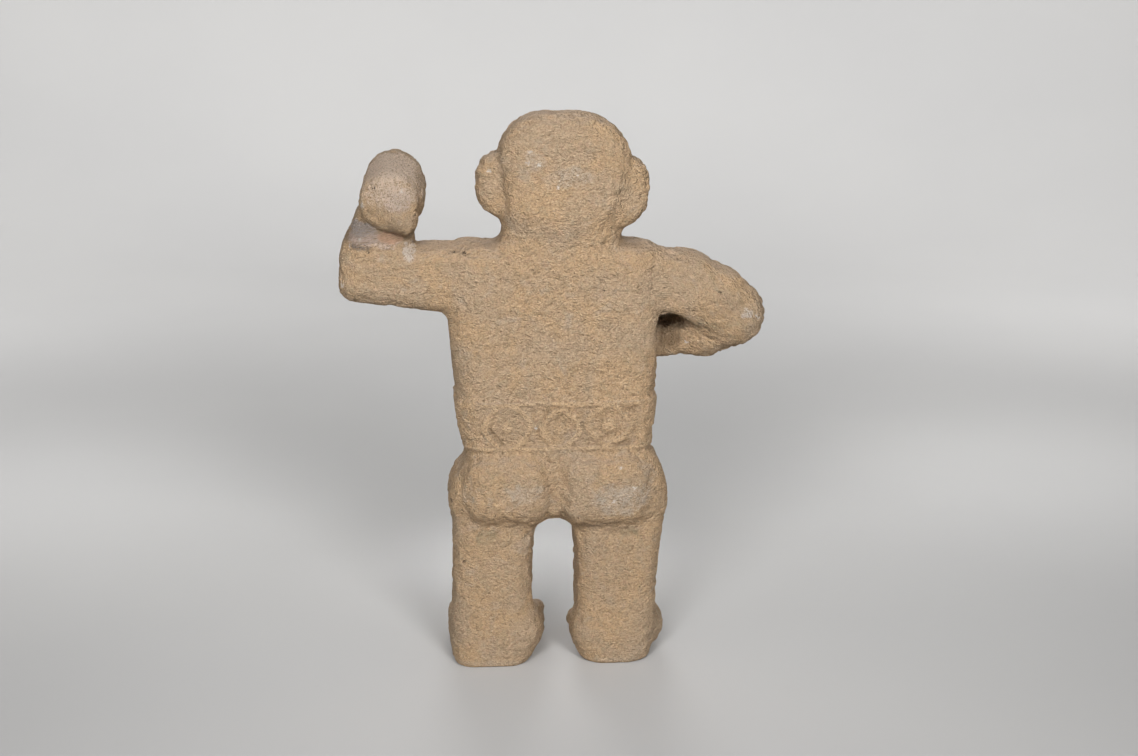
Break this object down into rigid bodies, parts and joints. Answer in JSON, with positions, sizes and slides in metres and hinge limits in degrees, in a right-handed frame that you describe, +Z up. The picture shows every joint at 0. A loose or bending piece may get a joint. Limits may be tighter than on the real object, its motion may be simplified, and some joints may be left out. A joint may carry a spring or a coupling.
{
  "type": "carved stone figure",
  "caption": "Standing carved stone figure, left arm raised with a short club, right forearm across the belly, carved belt, flat-soled bare feet.",
  "frame": {"origin": "middle of the box at the level of the soles, where the figure stands", "axes": "+Z up, -Y the way the figure faces, +X the figure's left, the side of the raised arm"},
  "size_m": [0.4564, 0.1616, 0.5999],
  "materials": {
    "stone": "dry pecked volcanic stone, ochre tan with grey patches"
  },
  "bodies": {
    "root": {"figure": "stone"}
  },
  "joints": []
}
